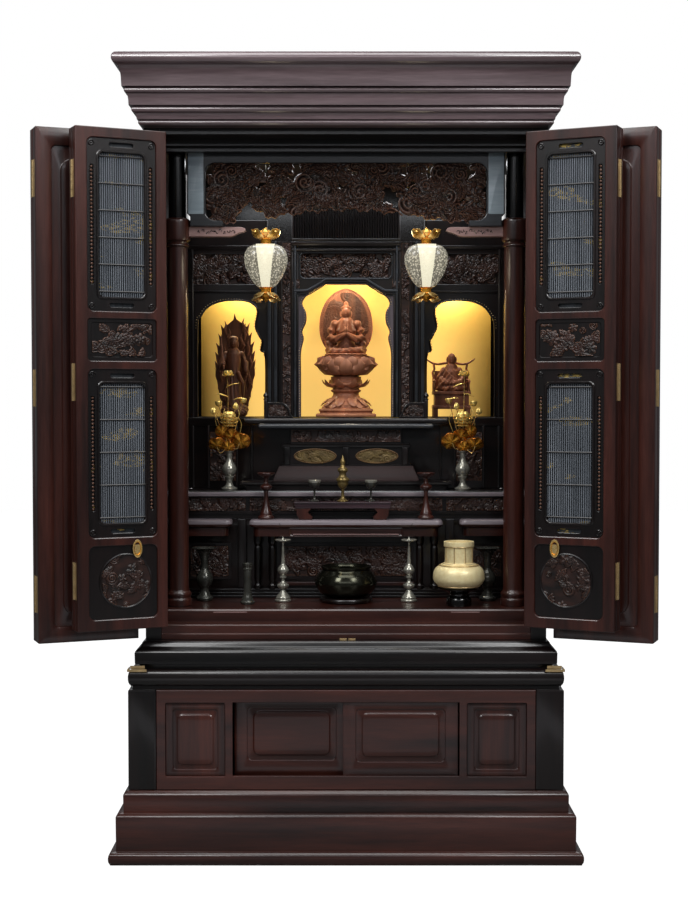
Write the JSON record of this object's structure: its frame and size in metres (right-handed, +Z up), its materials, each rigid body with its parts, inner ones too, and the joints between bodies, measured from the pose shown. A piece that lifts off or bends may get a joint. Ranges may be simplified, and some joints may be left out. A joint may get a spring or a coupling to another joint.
{
  "type": "household altar cabinet",
  "caption": "Floor-standing household altar cabinet with folding doors, a carved altar room with figures, lanterns and implements, and a low cupboard with sliding doors.",
  "frame": {"origin": "middle of the underside of the base, on the floor", "axes": "+X to the right seen from the front, +Y from front to back, +Z up"},
  "size_m": [1.2316, 0.7576, 1.575],
  "materials": {
    "brass": "satin",
    "dark_metal": "polished, dark patina",
    "ebony": "polished near-black",
    "figure_wood": "carved, unvarnished",
    "gold_leaf": "leafed",
    "lantern_glass": "translucent, lit from inside",
    "rosewood": "polished dark red-brown"
  },
  "bodies": {
    "cabinet": {"altar_base": "ebony", "altar_floor": "rosewood", "altar_pedestal": "ebony", "altar_tier": "ebony", "back_wall": "rosewood", "bowl_stand": "ebony", "buddha": "figure_wood", "burner_stand": "ebony", "candle_stand_left": "dark_metal", "candle_stand_right": "dark_metal", "cornice": "rosewood", "flame_halo": "figure_wood", "flower_vase_left": "dark_metal", "flower_vase_right": "dark_metal", "food_stand_left": "rosewood", "food_stand_right": "rosewood", "gold_board": "gold_leaf", "guardian": "figure_wood", "header_ceiling": "ebony", "incense_burner": "brass", "incense_holder": "dark_metal", "lantern_left": "lantern_glass", "lantern_right": "lantern_glass", "lotus_bouquet_left": "gold_leaf", "lotus_bouquet_right": "gold_leaf", "lotus_pedestal": "figure_wood", "lotus_vase_left": "dark_metal", "lotus_vase_right": "dark_metal", "lower_carcass": "rosewood", "lower_moulding": "ebony", "mandorla": "figure_wood", "monk": "figure_wood", "monk_chair": "figure_wood", "niche_frame_left": "ebony", "niche_frame_right": "ebony", "offering_cup_left": "dark_metal", "offering_cup_right": "dark_metal", "offering_spire": "dark_metal", "offering_stand": "rosewood", "pillar_left": "rosewood", "pillar_right": "rosewood", "plinth": "rosewood", "rin_bowl": "dark_metal", "shrine_front": "ebony", "shrine_platform": "ebony", "side_wall_left": "ebony", "side_wall_right": "ebony", "transom_carving": "ebony", "transom_frame": "ebony", "upper_moulding": "ebony"},
    "outer_door_left_a": {"outer_leaf_left_a": "rosewood"},
    "outer_door_left_b": {"outer_leaf_left_b": "rosewood"},
    "outer_door_right_a": {"outer_leaf_right_a": "rosewood"},
    "outer_door_right_b": {"outer_leaf_right_b": "rosewood"},
    "inner_door_left_a": {"inner_leaf_left_a": "ebony"},
    "inner_door_left_b": {"inner_leaf_left_b": "ebony"},
    "inner_door_right_a": {"inner_leaf_right_a": "ebony"},
    "inner_door_right_b": {"inner_leaf_right_b": "ebony"},
    "cupboard_door_left": {"sliding_door_left": "rosewood"},
    "cupboard_door_right": {"sliding_door_right": "rosewood"}
  },
  "joints": [
    {"name": "outer_left_swing", "type": "hinge", "parent": "cabinet", "child": "outer_door_left_a", "pos_m": [-0.405, -0.28, 0.933], "axis": [0, 0, 1], "range_deg": [0, 158]},
    {"name": "outer_left_fold", "type": "hinge", "parent": "outer_door_left_a", "child": "outer_door_left_b", "pos_m": [-0.60588, -0.33139, 0.933], "axis": [0, 0, 1], "range_deg": [0, 180]},
    {"name": "outer_right_swing", "type": "hinge", "parent": "cabinet", "child": "outer_door_right_a", "pos_m": [0.405, -0.28, 0.933], "axis": [0, 0, -1], "range_deg": [0, 158]},
    {"name": "outer_right_fold", "type": "hinge", "parent": "outer_door_right_a", "child": "outer_door_right_b", "pos_m": [0.60588, -0.33139, 0.933], "axis": [0, 0, -1], "range_deg": [0, 180]},
    {"name": "inner_left_swing", "type": "hinge", "parent": "cabinet", "child": "inner_door_left_a", "pos_m": [-0.366, -0.279, 0.9445], "axis": [0, 0, 1], "range_deg": [0, 155]},
    {"name": "inner_left_fold", "type": "hinge", "parent": "inner_door_left_a", "child": "inner_door_left_b", "pos_m": [-0.5221, -0.3775, 0.9445], "axis": [0, 0, -1], "range_deg": [0, 180]},
    {"name": "inner_right_swing", "type": "hinge", "parent": "cabinet", "child": "inner_door_right_a", "pos_m": [0.366, -0.279, 0.9445], "axis": [0, 0, -1], "range_deg": [0, 155]},
    {"name": "inner_right_fold", "type": "hinge", "parent": "inner_door_right_a", "child": "inner_door_right_b", "pos_m": [0.5221, -0.3775, 0.9445], "axis": [0, 0, 1], "range_deg": [0, 180]},
    {"name": "cupboard_left_slide", "type": "slide", "parent": "cabinet", "child": "cupboard_door_left", "axis": [1, 0, 0], "range_m": [-0.012, 0.213]},
    {"name": "cupboard_right_slide", "type": "slide", "parent": "cabinet", "child": "cupboard_door_right", "axis": [1, 0, 0], "range_m": [-0.213, 0.012]}
  ],
  "couplings": [
    {"joint": "inner_left_swing", "follows": "outer_left_swing", "ratio": 0.98101},
    {"joint": "inner_right_swing", "follows": "outer_right_swing", "ratio": 0.98101}
  ]
}
